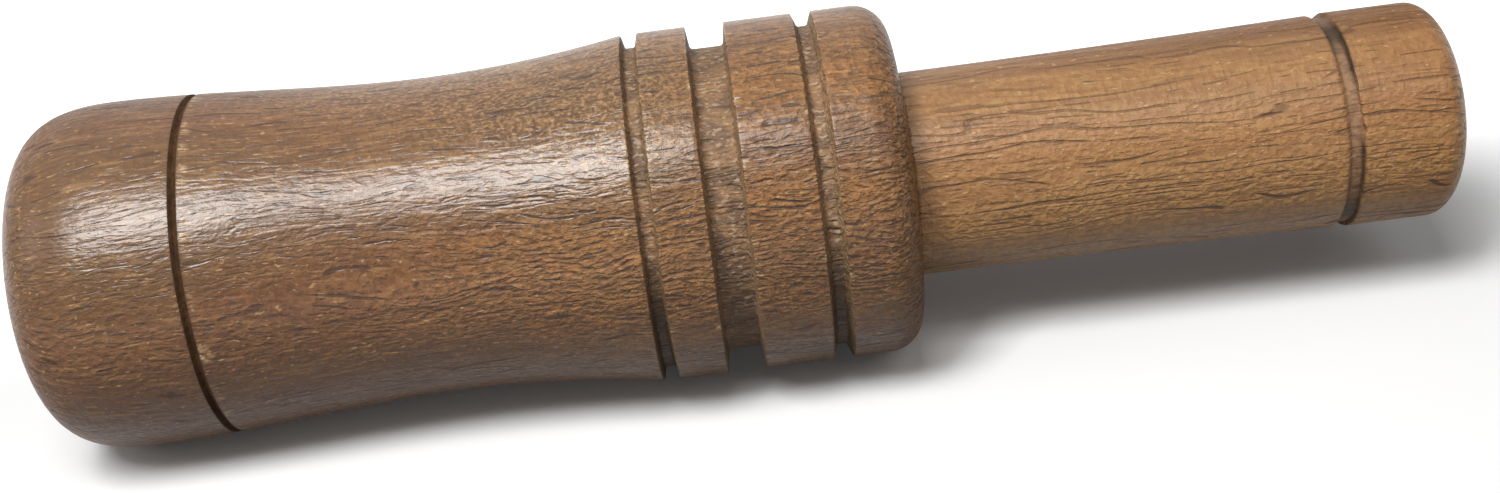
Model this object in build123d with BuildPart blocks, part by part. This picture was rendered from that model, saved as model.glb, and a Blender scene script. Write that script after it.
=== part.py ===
"""Bird call: a turned wooden barrel and a plug-in insert that carries a tone board and two reeds.

Millimetres. X runs along the call from the mouth end to the exhaust end and Z is up. The call
lies on its side: the bands of the flange rest on the plane z = 0 and the reeds face up.
"""
import os
from math import atan2, degrees, radians, tan

from build123d import *

os.makedirs("parts", exist_ok=True)

# Barrel outline, lengths along the axis from the mouth end
BARREL_LENGTH = 87.1
BAND_DIAMETER = 35.0
BULGE_DIAMETER = 34.7
BULGE_AT = 9.5
WAIST_DIAMETER = 31.6
WAIST_AT = 40.6
FLARE_DIAMETER = 34.9
MOUTH_FULLNESS = 0.72
MOUTH_LIP_ROUND = 1.6
MOUTH_LIP_FLAT = 0.3
MOUTH_BORE_DIAMETER = 14.2875
MOUTH_BORE_LENGTH = 14.0
BORE_DIAMETER = 15.875
BORE_CHAMFER = 0.4

# Burned line around the bulge
SCORE_AT = 17.95
SCORE_WIDTH = 0.8
SCORE_DEPTH = 0.35

# Flange, widths from the insert's side towards the mouth
END_BAND = 7.2
END_ROUND = 3.4
REAR_GROOVE = 2.1
MIDDLE_BAND = 6.7
LANYARD_GROOVE = 3.9
FRONT_BAND = 4.8
FRONT_GROOVE = 1.7
NARROW_GROOVE_DEPTH = 1.4
NARROW_GROOVE_FLOOR = 1.05
NARROW_GROOVE_FILLET = 0.3
LANYARD_GROOVE_DEPTH = 2.3
LANYARD_GROOVE_FLOOR = 3.3
LANYARD_GROOVE_FILLET = 0.4

# Stem of the insert, lengths along the axis from the barrel's end face
STEM_REACH = 54.7
STEM_BASE_DIAMETER = 20.5
STEM_FLARE_DIAMETER = 21.4
TIP_DIAMETER = 21.6
TIP_FACE_DIAMETER = 12.5
TIP_ROUND = 3.0
STEM_GROOVE_AT = 42.0
STEM_GROOVE_WIDTH = 1.7
STEM_GROOVE_DEPTH = 0.4
STEM_GROOVE_SLOPE = 0.5
STEM_GROOVE_STEP = 0.15
EXHAUST_DIAMETER = 9.525
EXHAUST_STRAIGHT = 20.0
THROAT_DIAMETER = 7.0
TENON_LENGTH = 20.0
TENON_CLEARANCE = 0.05
TENON_CHAMFER = 0.4

# Seal rings on the tenon, places measured from the barrel's end face
RING_SECTION = 1.6
RING_CLEARANCE = 0.03
RING_GROOVE_WIDTH = 2.0
REAR_RING_AT = 4.5
FRONT_RING_AT = 16.0

# Tone board, heights above the axis of the call
PLUG_DIAMETER = 9.6
PLUG_LENGTH = 14.0
PLUG_CLEARANCE = 0.05
PLUG_CHAMFER = 0.5
HEAD_DIAMETER = 14.8
HEAD_LENGTH = 10.0
HEAD_STEP = 0.4
HEAD_CHAMFER = 0.25
TONGUE_LENGTH = 38.0
TONGUE_WIDTH = 10.6
TONGUE_TIP_THICKNESS = 2.6
TONGUE_TIP_ROUND = 1.2
TONGUE_RELIEF_LENGTH = 10.0
REED_SEAT = 0.6
FACING_BREAK = 1.2
FACING_RADIUS = 1200.0
CHANNEL_DIAMETER = 5.6
CHANNEL_DROP = 0.6
CHANNEL_TIP_WALL = 3.0
SLOT_DEPTH = 8.6
SLOT_HEIGHT = 3.6
SLOT_SIDE_CLEARANCE = 0.15
SLOT_END_CLEARANCE = 0.2

# Reeds and wedge
REED_WIDTH = 9.9
REED_THICKNESS = 0.3
REED_CORNER = 1.4
REED_TIP_SETBACK = 0.3
UPPER_REED_SETBACK = 3.3
REED_HINGE_GAP = 0.05
DIMPLE_AT = 14.0
DIMPLE_DIAMETER = 2.4
DIMPLE_DEPTH = 0.3
DIMPLE_CLEARANCE = 0.03
WEDGE_TAPER = 0.4

# Places that follow from the sizes above
overall = BARREL_LENGTH + STEM_REACH
mouth_x = -overall / 2
shoulder_x = mouth_x + BARREL_LENGTH
exhaust_x = overall / 2
axis_z = BAND_DIAMETER / 2
bore_r = BORE_DIAMETER / 2
mouth_bore_r = MOUTH_BORE_DIAMETER / 2
band_r = BAND_DIAMETER / 2
bulge_r = BULGE_DIAMETER / 2
waist_r = WAIST_DIAMETER / 2
flare_r = FLARE_DIAMETER / 2
tenon_r = bore_r - TENON_CLEARANCE
tenon_x = shoulder_x - TENON_LENGTH
head_x = tenon_x - HEAD_LENGTH
tip_x = head_x - TONGUE_LENGTH
plug_x = tenon_x + PLUG_LENGTH
seat_z = axis_z + REED_SEAT

call_axis = Axis((0, 0, axis_z), (1, 0, 0))
# Half section of the turned pieces: local x along the call, local y out from the axis
half_section = Plane(origin=(0, 0, axis_z), x_dir=(1, 0, 0), z_dir=(0, -1, 0))

# Barrel
bulge = (mouth_x + BULGE_AT, bulge_r)
waist = (mouth_x + WAIST_AT, waist_r)
lip = (mouth_x, mouth_bore_r + MOUTH_LIP_ROUND + MOUTH_LIP_FLAT)
chamber_x = mouth_x + MOUTH_BORE_LENGTH
fall = (WAIST_AT - BULGE_AT) / 3
end_band_x = shoulder_x - END_BAND
rear_groove_x = end_band_x - REAR_GROOVE
middle_band_x = rear_groove_x - MIDDLE_BAND
lanyard_x = middle_band_x - LANYARD_GROOVE
front_band_x = lanyard_x - FRONT_BAND
flare_x = front_band_x - FRONT_GROOVE
narrow_r = band_r - NARROW_GROOVE_DEPTH
lanyard_r = band_r - LANYARD_GROOVE_DEPTH
front_wall = (FRONT_GROOVE - NARROW_GROOVE_FLOOR) / 2
rear_wall = (REAR_GROOVE - NARROW_GROOVE_FLOOR) / 2
lanyard_wall = (LANYARD_GROOVE - LANYARD_GROOVE_FLOOR) / 2
# The fall from bulge to waist is a cubic with level ends, so its radius at the burned line is known
score_part = (SCORE_AT - BULGE_AT) / (WAIST_AT - BULGE_AT)
score_r = bulge_r - (bulge_r - waist_r) * score_part**2 * (3 - 2 * score_part)
score_x = mouth_x + SCORE_AT

with BuildPart() as barrel:
    with BuildSketch(half_section):
        with BuildLine():
            Bezier(
                lip,
                (lip[0], lip[1] + MOUTH_FULLNESS * (bulge_r - lip[1])),
                (bulge[0] - MOUTH_FULLNESS * BULGE_AT, bulge_r),
                bulge,
            )
            Bezier(bulge, (bulge[0] + fall, bulge_r), (waist[0] - fall, waist_r), waist)
            Bezier(waist, ((waist[0] + flare_x) / 2, waist_r), (flare_x, flare_r))
            Polyline(
                (flare_x, flare_r),
                (flare_x + front_wall, narrow_r),
                (front_band_x - front_wall, narrow_r),
                (front_band_x, band_r),
                (lanyard_x, band_r),
                (lanyard_x + lanyard_wall, lanyard_r),
                (middle_band_x - lanyard_wall, lanyard_r),
                (middle_band_x, band_r),
                (rear_groove_x, band_r),
                (rear_groove_x + rear_wall, narrow_r),
                (end_band_x - rear_wall, narrow_r),
                (end_band_x, band_r),
                (shoulder_x - END_ROUND, band_r),
            )
            CenterArc((shoulder_x - END_ROUND, band_r - END_ROUND), END_ROUND, 0, 90)
            Polyline(
                (shoulder_x, band_r - END_ROUND),
                (shoulder_x, bore_r + BORE_CHAMFER),
                (shoulder_x - BORE_CHAMFER, bore_r),
                (chamber_x, bore_r),
                (chamber_x, mouth_bore_r),
                (mouth_x + MOUTH_LIP_ROUND, mouth_bore_r),
            )
            CenterArc(
                (mouth_x + MOUTH_LIP_ROUND, mouth_bore_r + MOUTH_LIP_ROUND), MOUTH_LIP_ROUND, 180, 90
            )
            Line((mouth_x, mouth_bore_r + MOUTH_LIP_ROUND), lip)
        make_face()
    revolve(axis=call_axis)
    # Burned line: a V that is open past the outline
    with BuildSketch(half_section):
        with BuildLine():
            Polyline(
                (score_x, score_r - SCORE_DEPTH),
                (score_x + SCORE_WIDTH, score_r + SCORE_DEPTH),
                (score_x - SCORE_WIDTH, score_r + SCORE_DEPTH),
                close=True,
            )
        make_face()
    revolve(axis=call_axis, mode=Mode.SUBTRACT)
    # The floors of the grooves run into their walls in small rounds
    rims = barrel.edges().filter_by(GeomType.CIRCLE)
    fillet([e for e in rims if abs(e.radius - lanyard_r) < 0.01], LANYARD_GROOVE_FILLET)
    rims = barrel.edges().filter_by(GeomType.CIRCLE)
    fillet([e for e in rims if abs(e.radius - narrow_r) < 0.01], NARROW_GROOVE_FILLET)
barrel.part.label = "barrel"
export_step(barrel.part, "parts/barrel.step")

# Stem of the insert
base_r = STEM_BASE_DIAMETER / 2
stem_flare_r = STEM_FLARE_DIAMETER / 2
stem_tip_r = TIP_DIAMETER / 2
face_r = TIP_FACE_DIAMETER / 2
exhaust_r = EXHAUST_DIAMETER / 2
groove_x = shoulder_x + STEM_GROOVE_AT
groove_r = stem_flare_r - STEM_GROOVE_DEPTH
collar_x = groove_x + STEM_GROOVE_WIDTH
socket_r = PLUG_DIAMETER / 2 + PLUG_CLEARANCE
ring_outer_r = bore_r - RING_CLEARANCE
ring_seat_r = ring_outer_r - RING_SECTION - RING_CLEARANCE
rear_ring_x = shoulder_x - REAR_RING_AT
front_ring_x = shoulder_x - FRONT_RING_AT

with BuildPart() as stem:
    with BuildSketch(half_section):
        with BuildLine():
            Polyline(
                (tenon_x, socket_r),
                (tenon_x, tenon_r - TENON_CHAMFER),
                (tenon_x + TENON_CHAMFER, tenon_r),
                (shoulder_x, tenon_r),
                (shoulder_x, base_r),
            )
            # The stem leaves the barrel straight and opens slowly towards its groove
            Bezier(
                (shoulder_x, base_r),
                ((shoulder_x + groove_x) / 2, base_r),
                (groove_x, stem_flare_r),
            )
            # The groove slopes in from the barrel's side and ends in a step
            Polyline(
                (groove_x, stem_flare_r),
                (groove_x + STEM_GROOVE_SLOPE, groove_r),
                (collar_x - STEM_GROOVE_STEP, groove_r),
                (collar_x, stem_tip_r),
                (exhaust_x - TIP_ROUND, stem_tip_r),
            )
            EllipticalCenterArc(
                (exhaust_x - TIP_ROUND, face_r), TIP_ROUND, stem_tip_r - face_r, arc_size=90
            )
            Polyline(
                (exhaust_x, face_r),
                (exhaust_x, exhaust_r),
                (exhaust_x - EXHAUST_STRAIGHT, exhaust_r),
                (plug_x, THROAT_DIAMETER / 2),
                (plug_x, socket_r),
                (tenon_x, socket_r),
            )
        make_face()
    revolve(axis=call_axis)
    with BuildSketch(half_section):
        for ring_x in (rear_ring_x, front_ring_x):
            with Locations((ring_x, (ring_seat_r + bore_r) / 2)):
                Rectangle(RING_GROOVE_WIDTH, bore_r - ring_seat_r)
    revolve(axis=call_axis, mode=Mode.SUBTRACT)
stem.part.label = "stem"
export_step(stem.part, "parts/stem.step")

# Seal rings, one in each groove of the tenon
with BuildPart() as front_ring:
    with BuildSketch(half_section):
        with Locations((front_ring_x, ring_outer_r - RING_SECTION / 2)):
            Circle(RING_SECTION / 2)
    revolve(axis=call_axis)
front_ring.part.label = "front_ring"
export_step(front_ring.part, "parts/front_ring.step")

with BuildPart() as rear_ring:
    with BuildSketch(half_section):
        with Locations((rear_ring_x, ring_outer_r - RING_SECTION / 2)):
            Circle(RING_SECTION / 2)
    revolve(axis=call_axis)
rear_ring.part.label = "rear_ring"
export_step(rear_ring.part, "parts/rear_ring.step")

# Tone board: the facing breaks down from the reeds at the head, then curves away to the tip
facing_mid = TONGUE_LENGTH / 2
facing_drop_mid = facing_mid * tan(radians(FACING_BREAK)) + facing_mid**2 / (2 * FACING_RADIUS)
facing_drop_tip = TONGUE_LENGTH * tan(radians(FACING_BREAK)) + TONGUE_LENGTH**2 / (2 * FACING_RADIUS)
tip_z = REED_SEAT - facing_drop_tip
tongue_r = HEAD_DIAMETER / 2 - HEAD_STEP
channel_r = CHANNEL_DIAMETER / 2
channel_end_x = tip_x + CHANNEL_TIP_WALL + channel_r
slot_width = REED_WIDTH + 2 * SLOT_SIDE_CLEARANCE

with BuildPart() as tone_board:
    # Tongue: side view cut to the reed's width, then rounded below by the rod it is made from
    with BuildSketch(half_section):
        with BuildLine():
            ThreePointArc(
                (head_x, REED_SEAT),
                (head_x - facing_mid, REED_SEAT - facing_drop_mid),
                (tip_x, tip_z),
            )
            Polyline(
                (tip_x, tip_z),
                (tip_x, tip_z - TONGUE_TIP_THICKNESS),
                (tip_x + TONGUE_RELIEF_LENGTH, -tongue_r),
                (head_x, -tongue_r),
                (head_x, REED_SEAT),
            )
        make_face()
    extrude(amount=TONGUE_WIDTH / 2, both=True)
    with BuildSketch(Plane(origin=(tip_x, 0, axis_z), x_dir=(0, 1, 0), z_dir=(1, 0, 0))):
        Circle(tongue_r)
    extrude(amount=TONGUE_LENGTH, mode=Mode.INTERSECT)
    tip_corners = [e for e in tone_board.edges().filter_by(Axis.Z) if e.center().X < tip_x + 0.01]
    fillet(tip_corners, TONGUE_TIP_ROUND)
    # Head against the tenon and plug inside it
    with BuildSketch(Plane(origin=(head_x, 0, axis_z), x_dir=(0, 1, 0), z_dir=(1, 0, 0))):
        Circle(HEAD_DIAMETER / 2)
    extrude(amount=HEAD_LENGTH)
    with BuildSketch(Plane(origin=(tenon_x, 0, axis_z), x_dir=(0, 1, 0), z_dir=(1, 0, 0))):
        Circle(PLUG_DIAMETER / 2)
    extrude(amount=PLUG_LENGTH)
    rims = tone_board.edges().filter_by(GeomType.CIRCLE)
    chamfer([e for e in rims if e.center().X > plug_x - 0.01], PLUG_CHAMFER)
    rims = tone_board.edges().filter_by(GeomType.CIRCLE)
    head_rims = [
        e for e in rims if e.radius > tongue_r + 0.01 and abs(e.center().X - head_x) < 0.01
    ]
    chamfer(head_rims, HEAD_CHAMFER)
    # Air channel: drilled from the plug and closed before the tip by the round of the drill
    with BuildSketch(
        Plane(origin=(plug_x, 0, axis_z - CHANNEL_DROP), x_dir=(0, 1, 0), z_dir=(-1, 0, 0))
    ):
        Circle(channel_r)
    extrude(amount=plug_x - channel_end_x, mode=Mode.SUBTRACT)
    with Locations((channel_end_x, 0, axis_z - CHANNEL_DROP)):
        Sphere(channel_r, mode=Mode.SUBTRACT)
    # Slot in the head that takes the reeds and the wedge
    with BuildSketch(
        Plane(origin=(head_x, 0, seat_z + SLOT_HEIGHT / 2), x_dir=(0, 1, 0), z_dir=(1, 0, 0))
    ):
        Rectangle(slot_width, SLOT_HEIGHT)
    extrude(amount=SLOT_DEPTH, mode=Mode.SUBTRACT)
tone_board.part.label = "tone_board"
export_step(tone_board.part, "parts/tone_board.step")

# Reeds: each heel is gripped in the slot and each tongue starts at the front of the wedge
heel_length = SLOT_DEPTH - SLOT_END_CLEARANCE
lower_length = TONGUE_LENGTH - REED_TIP_SETBACK
upper_length = TONGUE_LENGTH - UPPER_REED_SETBACK
# The dimple holds the upper reed's tongue off the lower one
upper_lift = degrees(atan2(DIMPLE_DEPTH + DIMPLE_CLEARANCE, DIMPLE_AT))
lower_plane = Plane(origin=(head_x, 0, seat_z), x_dir=(-1, 0, 0), z_dir=(0, 0, 1))
upper_flat = Plane(origin=(head_x, 0, seat_z + REED_THICKNESS), x_dir=(-1, 0, 0), z_dir=(0, 0, 1))
upper_plane = upper_flat.rotated((0, upper_lift, 0))

with BuildPart() as lower_reed_heel:
    with BuildSketch(lower_plane):
        with Locations((-heel_length / 2, 0)):
            Rectangle(heel_length, REED_WIDTH)
    extrude(amount=REED_THICKNESS)
lower_reed_heel.part.label = "lower_reed_heel"
export_step(lower_reed_heel.part, "parts/lower_reed_heel.step")

with BuildPart() as lower_reed_tongue:
    with BuildSketch(lower_plane):
        with BuildLine():
            Polyline(
                (REED_HINGE_GAP, -REED_WIDTH / 2),
                (lower_length - REED_CORNER, -REED_WIDTH / 2),
                (lower_length, REED_CORNER - REED_WIDTH / 2),
                (lower_length, REED_WIDTH / 2 - REED_CORNER),
                (lower_length - REED_CORNER, REED_WIDTH / 2),
                (REED_HINGE_GAP, REED_WIDTH / 2),
                close=True,
            )
        make_face()
    extrude(amount=REED_THICKNESS)
lower_reed_tongue.part.label = "lower_reed_tongue"
export_step(lower_reed_tongue.part, "parts/lower_reed_tongue.step")

with BuildPart() as upper_reed_heel:
    with BuildSketch(upper_flat):
        with Locations((-heel_length / 2, 0)):
            Rectangle(heel_length, REED_WIDTH)
    extrude(amount=REED_THICKNESS)
upper_reed_heel.part.label = "upper_reed_heel"
export_step(upper_reed_heel.part, "parts/upper_reed_heel.step")

dimple_axis = upper_plane.location * Location((DIMPLE_AT, 0, 0))
dimple_section = Plane(
    origin=dimple_axis.position, x_dir=upper_plane.y_dir, z_dir=upper_plane.x_dir
)
dimple_r = DIMPLE_DIAMETER / 2

with BuildPart() as upper_reed_tongue:
    with BuildSketch(upper_plane):
        with BuildLine():
            Polyline(
                (REED_HINGE_GAP, -REED_WIDTH / 2),
                (upper_length - REED_CORNER, -REED_WIDTH / 2),
                (upper_length, REED_CORNER - REED_WIDTH / 2),
                (upper_length, REED_WIDTH / 2 - REED_CORNER),
                (upper_length - REED_CORNER, REED_WIDTH / 2),
                (REED_HINGE_GAP, REED_WIDTH / 2),
                close=True,
            )
        make_face()
    extrude(amount=REED_THICKNESS)
    # Dimple: pressed in from above, and standing out below by as much
    for level, press in ((REED_THICKNESS, Mode.SUBTRACT), (0, Mode.ADD)):
        with BuildSketch(dimple_section):
            with BuildLine():
                sag = (DIMPLE_DEPTH**2 + dimple_r**2) / (2 * DIMPLE_DEPTH)
                RadiusArc((0, level - DIMPLE_DEPTH), (dimple_r, level), -sag)
                Polyline((dimple_r, level), (0, level), (0, level - DIMPLE_DEPTH))
            make_face()
        revolve(axis=Axis(dimple_axis.position, upper_plane.z_dir), mode=press)
upper_reed_tongue.part.label = "upper_reed_tongue"
export_step(upper_reed_tongue.part, "parts/upper_reed_tongue.step")

# Cork wedge on top of the reeds, flush with the front of the head
wedge_height = SLOT_HEIGHT - 2 * REED_THICKNESS
wedge_base = REED_SEAT + 2 * REED_THICKNESS

with BuildPart() as wedge:
    with BuildSketch(half_section):
        with BuildLine():
            Polyline(
                (head_x, wedge_base),
                (head_x, wedge_base + wedge_height),
                (head_x + heel_length, wedge_base + wedge_height - WEDGE_TAPER),
                (head_x + heel_length, wedge_base),
                close=True,
            )
        make_face()
    extrude(amount=REED_WIDTH / 2, both=True)
wedge.part.label = "wedge"
export_step(wedge.part, "parts/wedge.step")
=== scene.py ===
"""Looks of the bird call: turned barrel and stem with their wood, burned line and worn edges.

Metres, in the frame of the solids: X along the call towards the exhaust, Z up, floor at z = 0.
"""

from math import pi, radians

import bpy
import numpy as np
from mathutils import Matrix, Vector


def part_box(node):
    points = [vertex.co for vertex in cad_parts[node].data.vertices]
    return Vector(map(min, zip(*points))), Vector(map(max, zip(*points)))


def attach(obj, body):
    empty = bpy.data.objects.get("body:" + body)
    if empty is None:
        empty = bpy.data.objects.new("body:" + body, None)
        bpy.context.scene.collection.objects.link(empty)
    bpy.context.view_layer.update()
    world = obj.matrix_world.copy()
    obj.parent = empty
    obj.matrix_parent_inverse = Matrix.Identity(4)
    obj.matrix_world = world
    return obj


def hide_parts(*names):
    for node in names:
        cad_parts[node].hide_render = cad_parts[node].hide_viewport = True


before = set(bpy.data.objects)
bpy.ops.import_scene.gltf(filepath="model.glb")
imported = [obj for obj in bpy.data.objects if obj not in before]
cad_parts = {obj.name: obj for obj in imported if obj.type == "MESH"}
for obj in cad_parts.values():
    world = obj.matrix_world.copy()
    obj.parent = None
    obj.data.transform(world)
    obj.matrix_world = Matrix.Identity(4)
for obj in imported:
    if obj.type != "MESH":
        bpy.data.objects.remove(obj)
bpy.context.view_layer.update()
MM = 0.001

# Places of the turned pieces, read from the solids
barrel_low, barrel_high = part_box("barrel")
stem_low, stem_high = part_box("stem")
mouth_x = barrel_low.x
shoulder_x = barrel_high.x
exhaust_x = stem_high.x
tenon_x = stem_low.x
band_r = (barrel_high.y - barrel_low.y) / 2
stem_tip_r = (stem_high.y - stem_low.y) / 2
axis_z = (barrel_low.z + barrel_high.z) / 2

# Barrel outline, as in the solids
BULGE_R, BULGE_AT = 17.35 * MM, 9.5 * MM
WAIST_R, WAIST_AT = 15.8 * MM, 40.6 * MM
FLARE_R = 17.45 * MM
MOUTH_FULLNESS = 0.72
MOUTH_BORE_R, MOUTH_BORE_LENGTH = 7.14375 * MM, 14.0 * MM
LIP_ROUND, LIP_FLAT = 1.6 * MM, 0.3 * MM
BORE_R, BORE_CHAMFER = 7.9375 * MM, 0.4 * MM
SCORE_AT, SCORE_HALF, SCORE_DEPTH = 17.95 * MM, 0.4 * MM, 0.35 * MM
END_BAND, REAR_GROOVE, MIDDLE_BAND = 7.2 * MM, 2.1 * MM, 6.7 * MM
LANYARD_GROOVE, FRONT_BAND, FRONT_GROOVE = 3.9 * MM, 4.8 * MM, 1.7 * MM
NARROW_DEPTH, NARROW_FLOOR, NARROW_FILLET = 1.4 * MM, 1.05 * MM, 0.3 * MM
LANYARD_DEPTH, LANYARD_FLOOR, LANYARD_FILLET = 2.3 * MM, 3.3 * MM, 0.4 * MM
END_ROUND, EDGE_ROUND = 3.4 * MM, 0.15 * MM

# Stem outline, as in the solids
STEM_BASE_R, STEM_FLARE_R = 10.25 * MM, 10.7 * MM
STEM_GROOVE_AT, STEM_GROOVE_WIDTH, STEM_GROOVE_DEPTH = 42.0 * MM, 1.7 * MM, 0.4 * MM
STEM_GROOVE_SLOPE, STEM_GROOVE_STEP = 0.5 * MM, 0.15 * MM
COLLAR_FILLETS = (0.5 * MM, 0.2 * MM, 0.1 * MM, 0.1 * MM)
TIP_FACE_R, TIP_ROUND = 6.25 * MM, 3.0 * MM
EXHAUST_R, EXHAUST_STRAIGHT, THROAT_R = 4.7625 * MM, 20.0 * MM, 3.5 * MM
EXHAUST_CHAMFER = 0.2 * MM
TENON_R, TENON_CHAMFER = 7.8875 * MM, 0.4 * MM
SOCKET_R, PLUG_LENGTH = 4.85 * MM, 14.0 * MM
RING_SEAT_R, RING_GROOVE_WIDTH = 6.2775 * MM, 2.0 * MM
RING_PLACES = (4.5 * MM, 16.0 * MM)

# View: elevation over the floor, roll of the picture, distance and aim, from the photograph
VIEW_ELEVATION = radians(30.0)
VIEW_TURN = radians(0.24)
VIEW_ROLL = radians(7.35)
LENS_MM, SENSOR_MM = 50.0, 36.0
AXIS_DISTANCE = 210.1 * MM
AXIS_UP = 5.26 * MM
AXIS_SHIFT = 0.7 * MM


def linear(hex_colour):
    """Linear RGBA of an sRGB hex colour."""
    channels = [int(hex_colour[i : i + 2], 16) / 255 for i in (1, 3, 5)]
    return [c / 12.92 if c <= 0.04045 else ((c + 0.055) / 1.055) ** 2.4 for c in channels] + [1.0]


def add(tree, kind, inputs=None, **settings):
    """Adds a node: settings are its properties, and each input takes another node's output or a value."""
    made = tree.nodes.new(kind)
    for name, value in settings.items():
        setattr(made, name, value)
    for key, value in (inputs or {}).items():
        if isinstance(value, bpy.types.NodeSocket):
            tree.links.new(value, made.inputs[key])
        else:
            made.inputs[key].default_value = value
    return made


def blended(points, count):
    """A smooth curve between its end points, by repeated blending of neighbouring points."""
    t = np.linspace(0.0, 1.0, count)[:, None]
    rows = [np.broadcast_to(np.asarray(p, float), (count, 2)) for p in points]
    while len(rows) > 1:
        rows = [(1 - t) * a + t * b for a, b in zip(rows[:-1], rows[1:])]
    return rows[0]


def elliptic(centre, along, out, start, end, count):
    """Part of an ellipse: centre plus along times cosine and out times sine of the angle."""
    turn = np.radians(np.linspace(start, end, count))
    return np.stack([centre[0] + along * np.cos(turn), centre[1] + out * np.sin(turn)], 1)


# Points on each small arc, and the distance in metres under which two points are one
ARC_POINTS = 5
SAME_PLACE = 1e-7


def rounded(points, radii, step):
    """A polyline whose corners are arcs: each corner's tangent lengths are cut back by r / tan(half
    the corner's angle) and the arc between them is a rational quadratic, which is a true circle."""
    points = np.asarray(points, float)
    runs = [points[:1]]
    t = np.linspace(0.0, 1.0, ARC_POINTS)[:, None]
    for before, corner, after, radius in zip(points[:-2], points[1:-1], points[2:], radii):
        back, on = before - corner, after - corner
        back, on = back / np.hypot(*back), on / np.hypot(*on)
        half = np.arccos(np.clip(back @ on, -1, 1)) / 2
        cut = radius / np.tan(half)
        weight = np.sin(half)
        blend = [(1 - t) ** 2, 2 * t * (1 - t) * weight, t**2]
        ends = [corner + cut * back, corner, corner + cut * on]
        runs.append(sum(b * e for b, e in zip(blend, ends)) / sum(blend))
    runs.append(points[-1:])
    chain = np.concatenate(runs)
    return divided(chain, step)


def divided(chain, step):
    """The same chain of points with every run longer than step cut into equal lengths."""
    parts = [
        a + (b - a) * np.linspace(0.0, 1.0, max(1, int(np.ceil(np.hypot(*(b - a)) / step))) + 1)[:-1, None]
        for a, b in zip(chain[:-1], chain[1:])
    ]
    return np.concatenate(parts + [chain[-1:]])


def without_repeats(chain):
    """Drops a point that lies on the one before it, around a closed chain."""
    gap = np.hypot(*(chain - np.roll(chain, 1, 0)).T)
    return chain[gap > SAME_PLACE]


def ripple(turn, seed, waves, strength):
    """A closed random wave around a rim: cosines of whole numbers of turns with random phases."""
    draw = np.random.default_rng(seed)
    size = draw.normal(0.0, 1.0, len(waves)) * strength / np.sqrt(len(waves))
    phase = draw.uniform(0.0, 2 * np.pi, len(waves))
    return (size * np.cos(turn[:, None] * np.asarray(waves) + phase)).sum(1)


def turned(name, chain, around, body, node, place=None, marks=None):
    """A turned piece: the half section chain (x, r) carried round the axis. place moves the grid of
    (x, r) values by angle, and marks gives named values per point for the material."""
    turn = np.linspace(0.0, 2 * np.pi, around, endpoint=False)
    x = np.repeat(chain[:, :1], around, 1)
    r = np.repeat(chain[:, 1:], around, 1)
    if place:
        x, r = place(x, r, turn)
    points = np.stack([x, r * np.cos(turn), axis_z + r * np.sin(turn)], -1).reshape(-1, 3)
    rows, cols = np.meshgrid(np.arange(len(chain)), np.arange(around), indexing="ij")
    next_row, next_col = (rows + 1) % len(chain), (cols + 1) % around
    corners = [
        rows * around + cols,
        rows * around + next_col,
        next_row * around + next_col,
        next_row * around + cols,
    ]
    quads = np.stack(corners, -1).reshape(-1, 4)
    mesh = bpy.data.meshes.new(name)
    mesh.vertices.add(len(points))
    mesh.vertices.foreach_set("co", points.ravel())
    mesh.loops.add(quads.size)
    mesh.loops.foreach_set("vertex_index", quads.ravel())
    mesh.polygons.add(len(quads))
    mesh.polygons.foreach_set("loop_start", np.arange(0, quads.size, 4))
    mesh.update(calc_edges=True)
    mesh.polygons.foreach_set("use_smooth", np.ones(len(quads), bool))
    for mark, values in (marks(x, r, turn) if marks else {}).items():
        layer = mesh.attributes.new(mark, "FLOAT", "POINT")
        layer.data.foreach_set("value", values.ravel().astype(np.float32))
    piece = bpy.data.objects.new(name, mesh)
    bpy.context.scene.collection.objects.link(piece)
    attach(piece, body)
    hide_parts(node)
    return piece


# Barrel: outside from the lip to the end face, then back through the bore
end_band_x = shoulder_x - END_BAND
rear_groove_x = end_band_x - REAR_GROOVE
middle_band_x = rear_groove_x - MIDDLE_BAND
lanyard_x = middle_band_x - LANYARD_GROOVE
front_band_x = lanyard_x - FRONT_BAND
flare_x = front_band_x - FRONT_GROOVE
bulge_x, waist_x = mouth_x + BULGE_AT, mouth_x + WAIST_AT
score_x = mouth_x + SCORE_AT
lip_r = MOUTH_BORE_R + LIP_ROUND + LIP_FLAT
narrow_r, lanyard_r = band_r - NARROW_DEPTH, band_r - LANYARD_DEPTH
front_wall, rear_wall = (FRONT_GROOVE - NARROW_FLOOR) / 2, (REAR_GROOVE - NARROW_FLOOR) / 2
lanyard_wall = (LANYARD_GROOVE - LANYARD_FLOOR) / 2

# Longest faces along the section, at the rims and in the bores, and the number of faces round each piece
FINE, COARSE = 0.3 * MM, 3.0 * MM
STEM_FINE, TENON_FINE = 0.2 * MM, 1.0 * MM
BARREL_AROUND, STEM_AROUND = 300, 240

mouth_dome = blended(
    [
        (mouth_x, lip_r),
        (mouth_x, lip_r + MOUTH_FULLNESS * (BULGE_R - lip_r)),
        (bulge_x - MOUTH_FULLNESS * BULGE_AT, BULGE_R),
        (bulge_x, BULGE_R),
    ],
    count=36,
)


def side_radius(x):
    """Radius of the plain side: a cubic with level ends from bulge to waist, then a parabola."""
    part = np.clip((x - bulge_x) / (waist_x - bulge_x), 0, 1)
    falling = BULGE_R - (BULGE_R - WAIST_R) * part**2 * (3 - 2 * part)
    rising = (FLARE_R - WAIST_R) * (np.clip(x - waist_x, 0, None) / (flare_x - waist_x)) ** 2
    return falling + rising


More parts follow.
